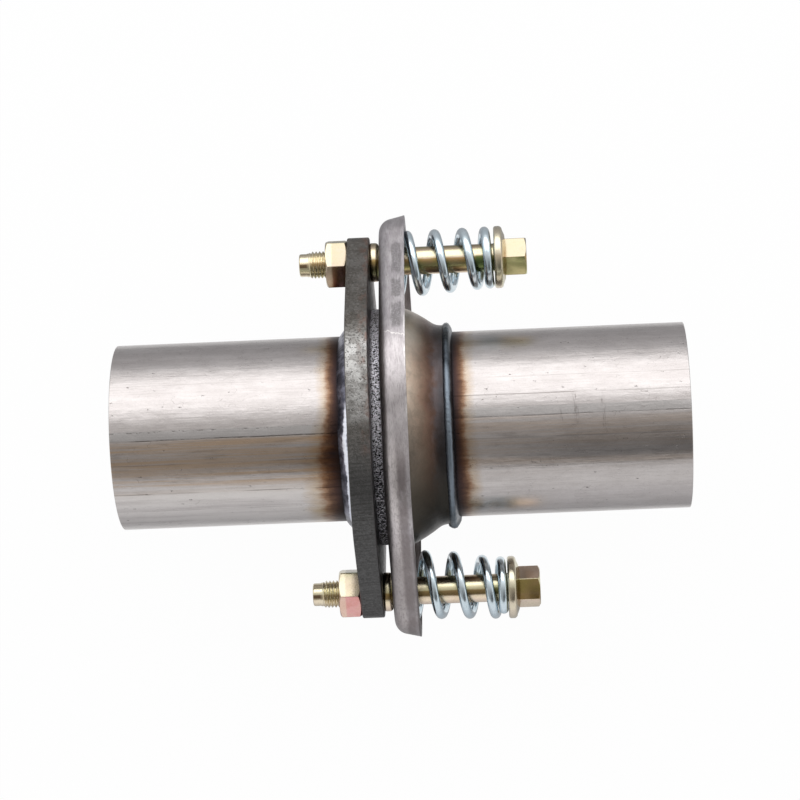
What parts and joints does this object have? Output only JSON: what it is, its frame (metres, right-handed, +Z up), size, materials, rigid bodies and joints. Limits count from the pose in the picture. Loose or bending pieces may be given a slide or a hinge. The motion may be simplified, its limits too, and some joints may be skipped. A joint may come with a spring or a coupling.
{
  "type": "spring-bolt ball joint pipe connector",
  "caption": "Flexible exhaust pipe connector: stub pipes on a flat flange and a flared flange, with a ball-faced ring gasket held by spring-loaded shoulder bolts.",
  "frame": {"origin": "on the pipe axis, at the flat flange's face under the gasket", "axes": "+X along the pipes from the inlet stub to the outlet stub, +Y towards the bolt with suffix a, +Z up as the joint lies on the edges of its flanges"},
  "size_m": [0.2034, 0.1518, 0.106],
  "materials": {
    "pipe_steel": "drawn stainless tube with fine lengthwise lines, heat tint beside the welds",
    "plate_steel": "dark mill scale, rough cut edge",
    "pressed_steel": "matt pressed sheet with darker blotches",
    "weld_metal": "rippled bead with bluish oxide",
    "gasket_mesh": "speckled pressed mesh and graphite, rough",
    "yellow_zinc": "bright yellow chromated zinc with faint green and pink",
    "blue_zinc": "bright bluish zinc, semi-gloss"
  },
  "bodies": {
    "inlet_side": {"inlet_pipe": "pipe_steel", "flat_flange": "plate_steel", "inlet_weld": "weld_metal", "ring_gasket": "gasket_mesh", "spring_bolt_a": "yellow_zinc", "nut_a": "yellow_zinc", "spring_bolt_b": "yellow_zinc", "nut_b": "yellow_zinc"},
    "springs": {"spring_a": "blue_zinc", "spring_b": "blue_zinc"},
    "outlet_side": {"flared_flange": "pressed_steel", "outlet_pipe": "pipe_steel", "outlet_weld": "weld_metal"}
  },
  "joints": [
    {"name": "swing_in_bolt_plane", "type": "hinge", "parent": "inlet_side", "child": "springs", "pos_m": [-0.0073, 0, 0], "axis": [0, 0, 1], "range_deg": [-2.5, 2.5], "stiffness_Nm_per_rad": 300, "deforming": ["spring_a", "spring_b"]},
    {"name": "nod_across_bolt_plane", "type": "hinge", "parent": "springs", "child": "outlet_side", "pos_m": [-0.0073, 0, 0], "axis": [0, 1, 0], "range_deg": [-2.5, 2.5]}
  ]
}
